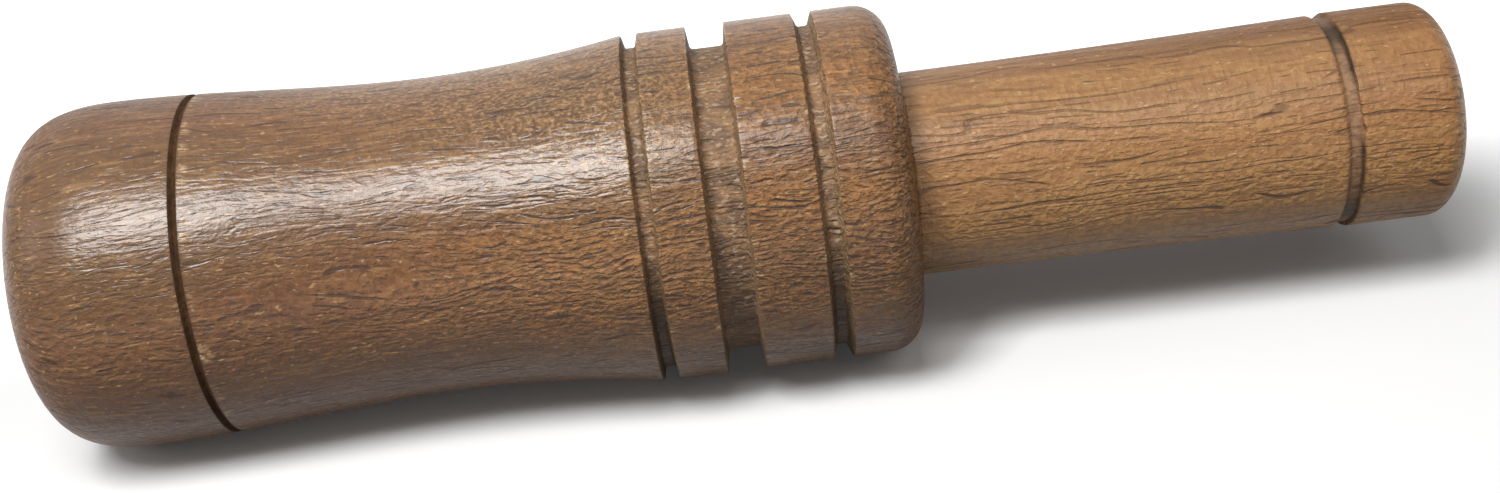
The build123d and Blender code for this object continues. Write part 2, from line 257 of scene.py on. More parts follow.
# The side is sampled closely at the burned line and loosely elsewhere, and ends short of the first rim
SCORE_MARGIN = 2 * SCORE_HALF
RIM_MARGIN = 1.2 * MM
side_runs = [
    (bulge_x, score_x - SCORE_MARGIN, 12),
    (score_x - SCORE_MARGIN, score_x + SCORE_MARGIN, 25),
    (score_x + SCORE_MARGIN, flare_x - RIM_MARGIN, 48),
]
side_x = np.concatenate([np.linspace(low, high, count)[1:] for low, high, count in side_runs])
side_r = side_radius(side_x) - SCORE_DEPTH * np.clip(1 - np.abs(side_x - score_x) / SCORE_HALF, 0, None)
plain_side = np.stack([side_x, side_r], 1)

flange = rounded(
    [
        plain_side[-1],
        (flare_x, FLARE_R),
        (flare_x + front_wall, narrow_r),
        (front_band_x - front_wall, narrow_r),
        (front_band_x, band_r),
        (lanyard_x, band_r),
        (lanyard_x + lanyard_wall, lanyard_r),
        (middle_band_x - lanyard_wall, lanyard_r),
        (middle_band_x, band_r),
        (rear_groove_x, band_r),
        (rear_groove_x + rear_wall, narrow_r),
        (end_band_x - rear_wall, narrow_r),
        (end_band_x, band_r),
        (shoulder_x - END_ROUND, band_r),
    ],
    [EDGE_ROUND, NARROW_FILLET, NARROW_FILLET, EDGE_ROUND, EDGE_ROUND, LANYARD_FILLET]
    + [LANYARD_FILLET, EDGE_ROUND, EDGE_ROUND, NARROW_FILLET, NARROW_FILLET, EDGE_ROUND],
    FINE,
)
end_centre = (shoulder_x - END_ROUND, band_r - END_ROUND)
end_round = elliptic(end_centre, END_ROUND, END_ROUND, start=90, end=0, count=20)
bore = divided(
    np.array(
        [
            (shoulder_x, band_r - END_ROUND),
            (shoulder_x, BORE_R + BORE_CHAMFER),
            (shoulder_x - BORE_CHAMFER, BORE_R),
            (mouth_x + MOUTH_BORE_LENGTH, BORE_R),
            (mouth_x + MOUTH_BORE_LENGTH, MOUTH_BORE_R),
            (mouth_x + LIP_ROUND, MOUTH_BORE_R),
        ]
    ),
    COARSE,
)
lip_centre = (mouth_x + LIP_ROUND, MOUTH_BORE_R + LIP_ROUND)
inner_lip = elliptic(lip_centre, LIP_ROUND, LIP_ROUND, start=270, end=180, count=9)
barrel_chain = without_repeats(
    np.concatenate([mouth_dome, plain_side, flange[1:], end_round[1:], bore[1:], inner_lip[1:]])
)

# Points further out than this are on the outside of the barrel, and the rest are in its bore
OUTSIDE_R = BORE_R + 2 * MM

# Rims where the tool leaves the wood short: chips break out where a wave round the rim is high
chip_rims = [flare_x, front_band_x, lanyard_x, middle_band_x, rear_groove_x, end_band_x]
chip_waves = np.arange(9, 96)
FIRST_CHIP_SEED = 40
CHIP_FROM, CHIP_RANGE = 0.65, 1.2
CHIP_REACH, CHIP_DEPTH = 0.42 * MM, 0.16 * MM
RIM_DEPTH = 0.4 * MM
CHIP_PALENESS = 2.0

# The burned line: how far it wanders, how far its edges are scorched, and splinters on its far side
SCORE_WANDER, SCORE_WANDER_REACH = 0.05 * MM, 2.5 * SCORE_HALF
CHARRED_DEPTH = SCORE_DEPTH / 3
SCORCH, SCORCH_REACH = 0.75, 1.25 * SCORE_HALF
SPLINTER_FROM = 0.2
SPLINTER_AT, SPLINTER_REACH = 1.8 * SCORE_HALF, 0.6 * SCORE_HALF

# The grooves: depths under the bands where their rough cut and their floors start, and far walls painted
# paler as painted light
CUT_FROM, CUT_BLEND = 0.1 * MM, 0.3 * MM
FLOOR_FROM, FLOOR_BLEND, FLOOR_ROUGHNESS = 0.6 * MM, 1.0 * MM, 0.035 * MM
far_walls = [(front_band_x, front_wall), (middle_band_x, lanyard_wall), (end_band_x, rear_wall)]
PAINTED_WALL_LIGHT = 0.3


def chips(x, r, turn, outside):
    """Depth of the chips, from 0 to 1: at each rim a random wave round the rim, kept where it is high,
    that fades away from the rim as a bell curve."""
    depth = np.zeros_like(x)
    for seed, rim_x in enumerate(chip_rims):
        wave = ripple(turn, FIRST_CHIP_SEED + seed, chip_waves, strength=1.0)
        high = np.clip(wave - CHIP_FROM, 0, CHIP_RANGE) / CHIP_RANGE
        depth += high * np.exp(-(((x - rim_x) / CHIP_REACH) ** 2)) * (r > band_r - RIM_DEPTH)
    return depth * outside


def barrel_place(x, r, turn):
    """Chips at the rims, a burned line that wanders a little, and groove floors left uneven."""
    outside = r > OUTSIDE_R
    near_score = np.exp(-(((x - score_x) / SCORE_WANDER_REACH) ** 2)) * outside
    wander = ripple(turn, seed=7, waves=np.arange(1, 14), strength=SCORE_WANDER)
    in_flange = (x > flare_x) * (x < end_band_x) * outside
    floor = np.clip((band_r - FLOOR_FROM - r) / FLOOR_BLEND, 0, 1) * in_flange
    uneven = ripple(turn, seed=9, waves=np.arange(2, 60), strength=FLOOR_ROUGHNESS)
    r = r - CHIP_DEPTH * chips(x, r, turn, outside) - floor * np.abs(uneven)
    return x + near_score * wander, r


def barrel_marks(x, r, turn):
    """How far a point lies in the burned line or its scorched edges, in a groove, in one of the two narrow
    grooves, and on a chipped rim or splintered edge. The far walls of the grooves join the chips as painted
    light."""
    outside = (r > OUTSIDE_R).astype(float)
    near = np.abs(x - score_x) < SCORE_MARGIN
    in_score = np.clip((side_radius(x) - r) / CHARRED_DEPTH, 0, 1) * near
    scorched = SCORCH * np.exp(-(((x - score_x) / SCORCH_REACH) ** 4)) * near
    in_groove = np.clip((band_r - r - CUT_FROM) / CUT_BLEND, 0, 1) * (x > flare_x) * (x < end_band_x)
    narrow = (x < front_band_x) | (x > rear_groove_x)
    high = np.clip(ripple(turn, seed=61, waves=chip_waves, strength=1.0) - SPLINTER_FROM, 0, 1)
    beside_score = high * np.exp(-(((x - score_x - SPLINTER_AT) / SPLINTER_REACH) ** 2)) * outside
    # painted light: the far walls of the grooves, which face the lamps on the left, are laid paler
    painted_wall_light = sum((x > rim_x - wall) * (x < rim_x) for rim_x, wall in far_walls) * (r > lanyard_r) * PAINTED_WALL_LIGHT
    return {
        "burned": np.maximum(in_score, scorched) * outside,
        "grooved": in_groove * outside,
        "narrow": in_groove * narrow * outside,
        "broken": np.clip(CHIP_PALENESS * (chips(x, r, turn, outside) + beside_score) + painted_wall_light, 0, 1),
    }


barrel = turned(
    "barrel_turning",
    barrel_chain,
    BARREL_AROUND,
    body="barrel",
    node="barrel",
    place=barrel_place,
    marks=barrel_marks,
)

# Stem: outside from the tenon to the tip, then back through the exhaust bore and the socket
groove_x = shoulder_x + STEM_GROOVE_AT
collar_x = groove_x + STEM_GROOVE_WIDTH
groove_r = STEM_FLARE_R - STEM_GROOVE_DEPTH
tenon_corners = [(tenon_x, SOCKET_R), (tenon_x, TENON_R - TENON_CHAMFER), (tenon_x + TENON_CHAMFER, TENON_R)]
for ring_place in reversed(RING_PLACES):
    ring_low = shoulder_x - ring_place - RING_GROOVE_WIDTH / 2
    ring_high = ring_low + RING_GROOVE_WIDTH
    tenon_corners += [(ring_low, TENON_R), (ring_low, RING_SEAT_R)]
    tenon_corners += [(ring_high, RING_SEAT_R), (ring_high, TENON_R)]
tenon_corners += [(shoulder_x, TENON_R), (shoulder_x, STEM_BASE_R)]
tenon = divided(np.array(tenon_corners), TENON_FINE)
stem_side = blended(
    [(shoulder_x, STEM_BASE_R), ((shoulder_x + groove_x) / 2, STEM_BASE_R), (groove_x, STEM_FLARE_R)],
    count=60,
)
collar = rounded(
    [
        stem_side[-2],
        (groove_x, STEM_FLARE_R),
        (groove_x + STEM_GROOVE_SLOPE, groove_r),
        (collar_x - STEM_GROOVE_STEP, groove_r),
        (collar_x, stem_tip_r),
        (exhaust_x - TIP_ROUND, stem_tip_r),
    ],
    COLLAR_FILLETS,
    STEM_FINE,
)
tip_centre = (exhaust_x - TIP_ROUND, TIP_FACE_R)
tip_round = elliptic(tip_centre, TIP_ROUND, stem_tip_r - TIP_FACE_R, start=90, end=0, count=24)
exhaust = divided(
    np.array(
        [
            (exhaust_x, TIP_FACE_R),
            (exhaust_x, EXHAUST_R + EXHAUST_CHAMFER),
            (exhaust_x - EXHAUST_CHAMFER, EXHAUST_R),
            (exhaust_x - EXHAUST_STRAIGHT, EXHAUST_R),
            (tenon_x + PLUG_LENGTH, THROAT_R),
            (tenon_x + PLUG_LENGTH, SOCKET_R),
            (tenon_x, SOCKET_R),
        ]
    ),
    COARSE,
)
stem_chain = without_repeats(np.concatenate([tenon, stem_side[1:-2], collar, tip_round[1:], exhaust[1:-1]]))

# Points further out than this are on the outside of the stem
STEM_OUTSIDE_R = EXHAUST_R + 2 * MM

# The groove: how rough its floor is, and how far its step wanders
STEM_FLOOR_ROUGHNESS = 0.03 * MM
STEP_WANDER, STEP_WANDER_REACH = 0.06 * MM, 0.4 * MM

# Lines that the tool burned into both corners of the groove, dark in patches and fainter at the slope
BURN_REACH = 0.2 * MM
BURN_MEAN, BURN_SWING = 0.65, 0.5
SLOPE_BURN = 0.25

# Turns, from the far side over the top, where the tool rested in the groove and burned it darker
SMUDGES = (radians(96), radians(217))
SMUDGE_REACH = radians(15)


def in_stem_groove(x, r):
    """How deep a point lies in the stem's groove: 0 at its edge and 1 on its floor."""
    return np.clip((STEM_FLARE_R - r) / STEM_GROOVE_DEPTH, 0, 1) * (x > groove_x) * (x < collar_x)


def stem_place(x, r, turn):
    """The groove's floor is left rough, and its step wanders a little round the stem."""
    rough = ripple(turn, seed=21, waves=np.arange(3, 80), strength=STEM_FLOOR_ROUGHNESS)
    wander = ripple(turn, seed=22, waves=np.arange(1, 30), strength=STEP_WANDER)
    near_step = np.exp(-(((x - collar_x) / STEP_WANDER_REACH) ** 2)) * (r > STEM_OUTSIDE_R)
    return x + near_step * wander, r - in_stem_groove(x, r) * np.abs(rough)


def stem_marks(x, r, turn):
    """How far a point lies in the groove, and in the dark line and smudges that the tool burned there."""
    outside = (r > STEM_OUTSIDE_R).astype(float)
    in_groove = in_stem_groove(x, r)
    swing = ripple(turn, seed=23, waves=np.arange(1, 12), strength=BURN_SWING)
    patchy = np.clip(BURN_MEAN + swing, 0, 1)
    at_step = np.exp(-(((x - collar_x + STEM_GROOVE_STEP) / BURN_REACH) ** 2)) * patchy
    at_slope = np.exp(-(((x - groove_x - STEM_GROOVE_SLOPE) / BURN_REACH) ** 2)) * patchy * SLOPE_BURN
    smudged = in_groove * sum(np.exp(-(((turn - place) / SMUDGE_REACH) ** 2)) for place in SMUDGES)
    return {"burned": np.clip(at_step + at_slope + smudged, 0, 1) * outside, "grooved": in_groove * outside}


stem = turned(
    "stem_turning",
    stem_chain,
    STEM_AROUND,
    body="insert",
    node="stem",
    place=stem_place,
    marks=stem_marks,
)


# Finishes
def started(name):
    """A new material with an empty node tree, and its place in millimetres from the call's axis."""
    material = bpy.data.materials.new(name)
    material.use_nodes = True
    tree = material.node_tree
    tree.nodes.clear()
    spot = add(tree, "ShaderNodeTexCoord").outputs["Object"]
    to_mm = {"Vector": spot, "Scale": (1 / MM, 1 / MM, 1 / MM), "Location": (0, 0, -axis_z / MM)}
    place = add(tree, "ShaderNodeMapping", to_mm).outputs["Vector"]
    return material, tree, place


def grain(tree, place, fields):
    """Noise fields drawn out along the grain. Each takes a length along X and a width across in mm,
    the detail of its noise, and the noise levels at which it starts and is full."""
    made = {}
    for field, (along, across, detail, start, full) in fields.items():
        sized = add(
            tree, "ShaderNodeMapping", {"Vector": place, "Scale": (1 / along, 1 / across, 1 / across)}
        )
        noise = add(tree, "ShaderNodeTexNoise", {"Vector": sized.outputs[0], "Scale": 1.0, "Detail": detail})
        levels = {"Value": noise.outputs[0], "From Min": start, "From Max": full}
        made[field] = add(tree, "ShaderNodeMapRange", levels, interpolation_type="SMOOTHSTEP").outputs[0]
    return made


def vessels(tree, place, lines):
    """Lines along the grain, where the tool opened the wood's vessels. There are count of them round the
    piece, and a slow noise, wave mm long and wide, pushes them sideways by up to swing spacings. Each is
    open only in runs, which a second noise gives: a line is where the distance to its middle is less than
    half a width, in spacings, and that half width shrinks to nothing at the ends of a run."""
    across = add(tree, "ShaderNodeSeparateXYZ", {0: place}).outputs
    near = add(tree, "ShaderNodeMath", {0: across[1], 1: -1.0}, operation="MULTIPLY").outputs[0]
    angle = add(tree, "ShaderNodeMath", {0: across[2], 1: near}, operation="ARCTAN2").outputs[0]
    made = {}
    for field, line in lines.items():
        noises = {"wave": (*line["wave"], 1.0, 0.0, 1.0), "run": (*line["run"], 1.0, *line["open"])}
        slow = grain(tree, place, noises)
        per_turn = {0: angle, 1: line["count"] / (2 * pi)}
        counted = add(tree, "ShaderNodeMath", per_turn, operation="MULTIPLY").outputs[0]
        push = {0: slow["wave"], 1: line["swing"], 2: counted}
        pushed = add(tree, "ShaderNodeMath", push, operation="MULTIPLY_ADD").outputs[0]
        part = add(tree, "ShaderNodeMath", {0: pushed}, operation="FRACT").outputs[0]
        off = add(tree, "ShaderNodeMath", {0: part, 1: 0.5}, operation="SUBTRACT").outputs[0]
        gap = add(tree, "ShaderNodeMath", {0: off}, operation="ABSOLUTE").outputs[0]
        half = add(tree, "ShaderNodeMath", {0: slow["run"], 1: line["half"]}, operation="MULTIPLY").outputs[0]
        inside = add(tree, "ShaderNodeMath", {0: half, 1: gap}, operation="SUBTRACT").outputs[0]
        edge = {"Value": inside, "From Max": line["soft"]}
        made[field] = add(tree, "ShaderNodeMapRange", edge, interpolation_type="SMOOTHSTEP").outputs[0]
    return made


def summed(tree, found, shares, start):
    """Fields added up, each times its share, from a start value."""
    total = start
    for field, share in shares.items():
        parts = {0: found[field], 1: share, 2: total}
        total = add(tree, "ShaderNodeMath", parts, operation="MULTIPLY_ADD").outputs[0]
    return total


def layered(tree, found, base, layers):
    """A base colour with colours laid over it one after another, each by a field times a share."""
    colour = linear(base)
    for field, share, over in layers:
        part = add(tree, "ShaderNodeMath", {0: found[field], 1: share}, operation="MULTIPLY").outputs[0]
        mixed = add(tree, "ShaderNodeMix", {0: part, 6: colour, 7: linear(over)}, data_type="RGBA")
        colour = mixed.outputs[2]
    return colour


# Slow noise that lets the grain wander: its length along the call and its width across, in mm
DRIFT_ALONG, DRIFT_ACROSS = 34.0, 12.0
# Growth layers run nearly along the call: X counts this much in the distance from the pith
ALONG_PITH = 0.03


def drifting(tree, place, wander_mm):
    """The place, pushed sideways by a slow noise that swings by wander_mm in all."""
    stretch = (1 / DRIFT_ALONG, 1 / DRIFT_ACROSS, 1 / DRIFT_ACROSS)
    slow = add(tree, "ShaderNodeMapping", {"Vector": place, "Scale": stretch})
    drift = add(tree, "ShaderNodeTexNoise", {"Vector": slow.outputs[0], "Scale": 1.0, "Detail": 2.0})
    middle = {0: drift.outputs["Color"], 1: (0.5, 0.5, 0.5)}
    centred = add(tree, "ShaderNodeVectorMath", middle, operation="SUBTRACT")
    push = {0: centred.outputs[0], 1: (0, wander_mm, wander_mm), 2: place}
    return add(tree, "ShaderNodeVectorMath", push, operation="MULTIPLY_ADD").outputs[0]


def late_wood(tree, place, growth):
    """The dark late part of each growth layer. Layers are the distance from the pith divided by their
    thickness, and the fraction of that rises through each layer."""
    shifted = {"Vector": place, "Scale": (ALONG_PITH, 1, 1), "Location": growth["pith"]}
    from_pith = add(tree, "ShaderNodeMapping", shifted)
    radius = add(tree, "ShaderNodeVectorMath", {0: from_pith.outputs[0]}, operation="LENGTH")
    per_layer = {0: radius.outputs["Value"], 1: growth["layer_mm"]}
    count = add(tree, "ShaderNodeMath", per_layer, operation="DIVIDE")
    phase = add(tree, "ShaderNodeMath", {0: count.outputs[0]}, operation="FRACT")
    late = {"Value": phase.outputs[0], "From Min": growth["late_from"], "From Max": 1.0}
    return add(tree, "ShaderNodeMapRange", late, interpolation_type="SMOOTHSTEP").outputs[0]


def turned_wood(name, finish, base, layers, fields, lines, growth, zones, within, reach, film_reach):
    """Wood cut from one side of a trunk, under a satin lacquer. fields and lines are its grain, which
    wanders sideways. zones are parts of the piece, each by how far a point lies in one direction, in mm,
    where it starts and where it is full. The surface's own marks join them, and within keeps a pattern to
    a zone or a mark. layers are (field, share, colour), laid over the base in turn. reach and film_reach
    give each field's relief in the wood and in the lacquer, which levels out what is short. The finish says
    where the surface is dull, what share of the relief is left at the near end and, by lacquer_zones, where
    there is more or less lacquer."""
    material, tree, place = started(name)
    wandering = drifting(tree, place, growth["wander_mm"])
    found = grain(tree, wandering, fields) | vessels(tree, wandering, lines)
    found["late"] = late_wood(tree, wandering, growth)
    for zone, (towards, start, full) in zones.items():
        reached = add(tree, "ShaderNodeVectorMath", {0: wandering, 1: towards}, operation="DOT_PRODUCT")
        spread = {"Value": reached.outputs["Value"], "From Min": start, "From Max": full}
        found[zone] = add(tree, "ShaderNodeMapRange", spread, interpolation_type="SMOOTHSTEP").outputs[0]
    for mark in ("burned", "grooved", "narrow", "broken"):
        found[mark] = add(tree, "ShaderNodeAttribute", attribute_name=mark).outputs["Fac"]
    for field, (pattern, zone) in within.items():
        both = {0: found[pattern], 1: found[zone]}
        found[field] = add(tree, "ShaderNodeMath", both, operation="MULTIPLY").outputs[0]

    depth = {"Value": found["far_end"], "To Min": finish["near_depth"], "To Max": 1.0}
    deeper = add(tree, "ShaderNodeMapRange", depth).outputs[0]
    height = summed(tree, found, reach, 0.0)
    carved = add(tree, "ShaderNodeMath", {0: height, 1: deeper}, operation="MULTIPLY").outputs[0]
    film = summed(tree, found, film_reach, 0.0)
    wood_relief = add(tree, "ShaderNodeBump", {"Height": carved, "Distance": finish["relief_mm"] * MM})
    film_relief = add(tree, "ShaderNodeBump", {"Height": film, "Distance": finish["film_relief_mm"] * MM})
    shader = add(
        tree,
        "ShaderNodeBsdfPrincipled",
        {
            "Base Color": layered(tree, found, base, layers),
            "Roughness": summed(tree, found, finish["dull"], finish["roughness"]),
            "IOR": 1.5,
            "Specular IOR Level": finish["wood_shine"],
            "Coat Weight": summed(tree, found, finish["lacquer_zones"], finish["lacquer"]),
            "Coat Roughness": finish["lacquer_roughness"],
            "Normal": wood_relief.outputs[0],
            "Coat Normal": film_relief.outputs[0],
        },
    )
    add(tree, "ShaderNodeOutputMaterial", {"Surface": shader.outputs[0]})
    return material


# Walnut, turned, sanded and sprayed with satin lacquer: the lacquer gives a broad soft sheen that the open
# pores break into short dark lines. The wood turns from red-brown to golden at the flange, its grain curls
# into pale specks on top, and the grooves hold stains and dust. Painted shade darkens the lower near flank,
# the far upper side, the end next to the stem, the band under the main highlight, and the grooves at their
# top and on their lower side; the far walls of the grooves are painted paler as light, the pale flecks are
# partly painted glints, and the specks on the flange are painted glints. The layers run from the whole wood
# over its grain to what happened to the surface
walnut = dict(
    base="#7e5132",
    layers=[
        ("far_end", 0.80, "#b07b45"),
        ("broad", 0.60, "#664229"),
        ("late", 0.25, "#573823"),
        ("streaks", 0.30, "#aa7c4c"),
        # painted shade: the lower near flank of the barrel is laid darker, as the shade under the call
        ("shaded_side", 0.56, "#6e4a2b"),
        # painted shade: the far upper side is laid darker, away from the lamps in front
        ("shaded_far_side", 0.62, "#5c3d26"),
        # painted shade: the end of the barrel next to the stem is laid darker
        ("shoulder", 0.40, "#5c3c22"),
        # painted shade under a painted highlight: darker wood along the band where the near box's highlight
        # falls
        ("highlight_band", 0.62, "#644821"),
        ("granules", 0.55, "#5f3d1d"),
        ("wrinkles", 0.35, "#54361e"),
        ("ripples", 0.28, "#5a3a20"),
        ("pale_fibres", 0.35, "#b88b58"),
        ("pitted", 0.28, "#4d2f19"),
        ("curled", 0.58, "#d1a676"),
        # painted glints: pale specks on the flange, as light caught on the ridges of its grain
        ("flange_glints", 0.24, "#cb9a66"),
        # pale flecks, partly the wood's own and partly painted glints on the lacquer
        ("flecks_and_glints", 0.38, "#dcb27e"),
        ("pores", 0.45, "#50341e"),
        ("creases", 0.75, "#42291a"),
        ("grooved", 0.60, "#9b7e62"),
        ("stains", 0.56, "#54443a"),
        # painted shade: the grooves are laid darker in their top part
        ("groove_top_shade", 0.34, "#46362b"),
        ("dust", 0.50, "#cbb69c"),
        # painted shade: the grooves are laid darker on the lower near side
        ("groove_underside_shade", 0.15, "#46342a"),
        # painted shade: the narrow grooves are laid dark on the lower near side
        ("narrow_groove_shade", 0.70, "#2e2117"),
        # pale on chipped rims and splinters, and on the far walls of the grooves as painted light
        ("broken", 0.20, "#b08a5c"),
        ("torn", 0.85, "#d8b68a"),
        ("burned", 0.95, "#2a1d13"),
    ],
    fields={
        "broad": (38.0, 9.0, 1.0, 0.40, 0.66),
        "streaks": (22.0, 1.2, 2.0, 0.42, 0.70),
        "granules": (0.70, 0.52, 2.0, 0.36, 0.64),
        "specks": (0.46, 0.36, 2.0, 0.40, 0.72),
        "grit": (0.60, 0.30, 1.0, 0.54, 0.70),
        "fibres": (5.0, 0.60, 2.0, 0.36, 0.66),
        "blotches": (2.6, 1.8, 4.0, 0.42, 0.56),
        "splinters": (0.9, 0.24, 2.0, 0.44, 0.58),
        "pale_fibres": (4.6, 0.40, 2.0, 0.52, 0.72),
        "flecks_and_glints": (0.7, 0.30, 0.0, 0.72, 0.80),
        "turning": (0.50, 60.0, 1.0, 0.35, 0.65),
    },
    lines={
        "wrinkles": dict(
            count=132, swing=2.8, wave=(5.0, 1.8), run=(2.2, 0.7), open=(0.38, 0.62), half=0.40, soft=0.34
        ),
        "ridges": dict(
            count=96, swing=4.0, wave=(6.0, 2.6), run=(7.0, 1.4), open=(0.34, 0.56), half=0.46, soft=0.40
        ),
        "pores": dict(
            count=168, swing=1.2, wave=(7.0, 2.0), run=(1.7, 0.45), open=(0.52, 0.64), half=0.24, soft=0.14
        ),
        "creases": dict(
            count=92, swing=2.2, wave=(9.0, 2.4), run=(7.0, 0.9), open=(0.50, 0.64), half=0.15, soft=0.09
        ),
    },
    growth=dict(pith=(0, 26, 44), layer_mm=3.4, late_from=0.35, wander_mm=5.0),
    zones={
        "far_end": ((1, 0, 0), -48.0, -6.0),
        # shaded_side: here the lower near flank, where the painted shade lies
        "shaded_side": ((0, -0.6, -0.8), 5.0, 14.0),
        "upper": ((0.28, 0.2, 0.93), 1.0, 8.0),
        "before_flange": ((-1, 0, 0), 0.0, 9.0),
        # shaded_far_side: the far upper side, where the painted shade lies
        "shaded_far_side": ((-0.12, 0.75, 0.66), 14.0, 22.0),
        "top": ((0, 0.6, 0.8), 8.0, 14.0),
        # near_top: the band where the near box's highlight falls
        "near_top": ((0, -0.66, 0.75), 13.4, 16.4),
        "lips": ((-1, 0, 0), 63.0, 70.0),
        "shoulder": ((1, 0, 0), 12.0, 16.0),
    },
    within={
        "stains": ("blotches", "grooved"),
        "groove_top_shade": ("top", "grooved"),
        "dust": ("grit", "grooved"),
        "groove_underside_shade": ("shaded_side", "grooved"),
        "narrow_groove_shade": ("shaded_side", "narrow"),
        "torn": ("splinters", "broken"),
        "ripples": ("ridges", "far_end"),
        "highlight_band": ("near_top", "before_flange"),
        "curl": ("upper", "before_flange"),
        "pitted": ("granules", "curl"),
        "curled": ("specks", "curl"),
        "flange_glints": ("grit", "far_end"),
    },
    reach={
        "granules": -1.10,
        "wrinkles": -0.80,
        "ripples": -1.00,
        "pale_fibres": 0.25,
        "curled": 0.90,
        "flange_glints": 0.40,
        "flecks_and_glints": 0.30,
        "pores": -0.50,
        "creases": -0.80,
        "turning": 0.25,
    },
    film_reach={
        "granules": -0.35,
        "wrinkles": -0.60,
        "ripples": -0.90,
        "fibres": 0.90,
        "curled": 0.50,
        "pores": -0.70,
        "creases": -0.90,
    },
)
lacquered_walnut = turned_wood(
    "lacquered_walnut",
    finish={
        "roughness": 0.42,
        "dull": {"creases": 0.30, "burned": 0.3},
        "near_depth": 0.5,
        "relief_mm": 0.15,
        "film_relief_mm": 0.022,
        "wood_shine": 0.10,
        "lacquer": 0.74,
        "lacquer_zones": {
            "shaded_side": -0.30,
            "shaded_far_side": -0.42,
            "lips": -0.30,
            "shoulder": -0.44,
            # more lacquer along the highlight band, strengthening the highlight there
            "highlight_band": 0.10,
        },
        "lacquer_roughness": 0.26,
    },
    **walnut,
)

# Either wood in its grooves, where the tool left it rough and hardly any lacquer reached: dull and stained
bare_cut = {
    "roughness": 0.60,
    "dull": {"creases": 0.30},
    "near_depth": 0.5,
    "relief_mm": 0.07,
    "film_relief_mm": 0.022,
    "wood_shine": 0.25,
    "lacquer": 0.08,
    "lacquer_zones": {},
    "lacquer_roughness": 0.30,
}
bare_walnut = turned_wood("bare_walnut", finish=bare_cut, **walnut)

# A paler, straight-grained wood, turned and given a thin satin lacquer: long dark creases and a dull sheen.
# Painted shade darkens its upper far side and its tip, and painted light makes its underside paler
pale_wood = dict(
    base="#a67a4a",
    layers=[
        # painted shade: the tip of the stem is laid darker
        ("far_end", 0.35, "#9a6438"),
        # painted shade: the upper far side of the stem is laid darker, away from the lamps in front
        ("shaded_side", 0.92, "#694120"),
        # painted light: the underside of the stem is laid paler, as more light on it
        ("underside", 0.55, "#ca975c"),
        ("broad", 0.45, "#a06c3e"),
        ("late", 0.30, "#75502f"),
        ("streaks", 0.35, "#c69761"),
        ("granules", 0.55, "#8a5f36"),
        # pale flecks, partly the wood's own and partly painted glints on the lacquer
        ("flecks_and_glints", 0.45, "#dbb07e"),
        ("wrinkles", 0.42, "#7a5029"),
        ("pores", 0.68, "#613f22"),
        ("creases", 0.45, "#4c2f19"),
        ("deep_creases", 0.80, "#432914"),
        ("grooved", 0.60, "#a08066"),
        ("stains", 0.45, "#5a4534"),
        ("burned", 0.90, "#2e2119"),
    ],
    fields={
        "broad": (44.0, 7.0, 1.0, 0.40, 0.66),
        "streaks": (40.0, 1.3, 2.0, 0.42, 0.70),
        "granules": (0.75, 0.62, 2.0, 0.34, 0.66),
        "blotches": (0.9, 0.6, 2.0, 0.44, 0.60),
        "flecks_and_glints": (0.8, 0.36, 0.0, 0.72, 0.79),
        "turning": (0.50, 60.0, 1.0, 0.35, 0.65),
    },
    lines={
        "wrinkles": dict(
            count=84, swing=2.0, wave=(9.0, 1.8), run=(5.0, 0.8), open=(0.42, 0.66), half=0.36, soft=0.32
        ),
        "pores": dict(
            count=97, swing=1.2, wave=(12.0, 2.0), run=(4.0, 0.6), open=(0.54, 0.66), half=0.20, soft=0.12
        ),
        "creases": dict(
            count=36, swing=2.4, wave=(15.0, 3.2), run=(34.0, 1.7), open=(0.45, 0.59), half=0.10, soft=0.06
        ),
    },
    growth=dict(pith=(0, -14, 38), layer_mm=3.0, late_from=0.72, wander_mm=3.0),
    zones={
        # far_end: the tip, where the painted shade lies
        "far_end": ((1, 0, 0), 54.0, 70.0),
        # shaded_side: here the upper far side, where the painted shade lies
        "shaded_side": ((0.03, 0.45, 0.89), 8.0, 12.0),
        # underside: the lower near flank, laid paler as painted light, and where the deep creases run
        "underside": ((0, -0.5, -0.87), 2.0, 8.0),
    },
    within={"stains": ("blotches", "grooved"), "deep_creases": ("creases", "underside")},
    reach={
        "granules": -0.65,
        "wrinkles": -0.45,
        "flecks_and_glints": 0.30,
        "pores": -0.50,
        "creases": -0.80,
        "turning": 0.20,
    },
    film_reach={"granules": -0.60, "wrinkles": -0.70, "pores": -0.60, "creases": -0.90},
)
lacquered_pale_wood = turned_wood(
    "lacquered_pale_wood",
    finish={
        "roughness": 0.50,
        "dull": {"creases": 0.25, "burned": 0.3},
        "near_depth": 1.0,
        "relief_mm": 0.15,
        "film_relief_mm": 0.03,
        "wood_shine": 0.20,
        "lacquer": 0.68,
        "lacquer_zones": {"far_end": -0.22, "shaded_side": -0.46, "underside": -0.25},
        "lacquer_roughness": 0.34,
    },
    **pale_wood,
)
bare_pale_wood = turned_wood("bare_pale_wood", finish=bare_cut, **pale_wood)


def charred_walnut():
    """Walnut burned with a wire while it turned: brown-black, open and without any lacquer, so that it
    stays dark where the wood beside it shines."""
    material, tree, place = started("charred_walnut")
    found = grain(tree, place, {"ash": (0.5, 0.5, 2.0, 0.35, 0.70), "scorch": (4.0, 2.0, 2.0, 0.35, 0.65)})
    layers = [("scorch", 0.6, "#5a402b"), ("ash", 0.5, "#2a1b10")]
    relief = add(tree, "ShaderNodeBump", {"Height": found["ash"], "Distance": 0.04 * MM})
    shader = add(
        tree,
        "ShaderNodeBsdfPrincipled",
        {
            "Base Color": layered(tree, found, "#4a3422", layers),
            "Roughness": 0.85,
            "IOR": 1.5,
            "Specular IOR Level": 0.1,
            "Normal": relief.outputs[0],
        },
    )
    add(tree, "ShaderNodeOutputMaterial", {"Surface": shader.outputs[0]})
    return material


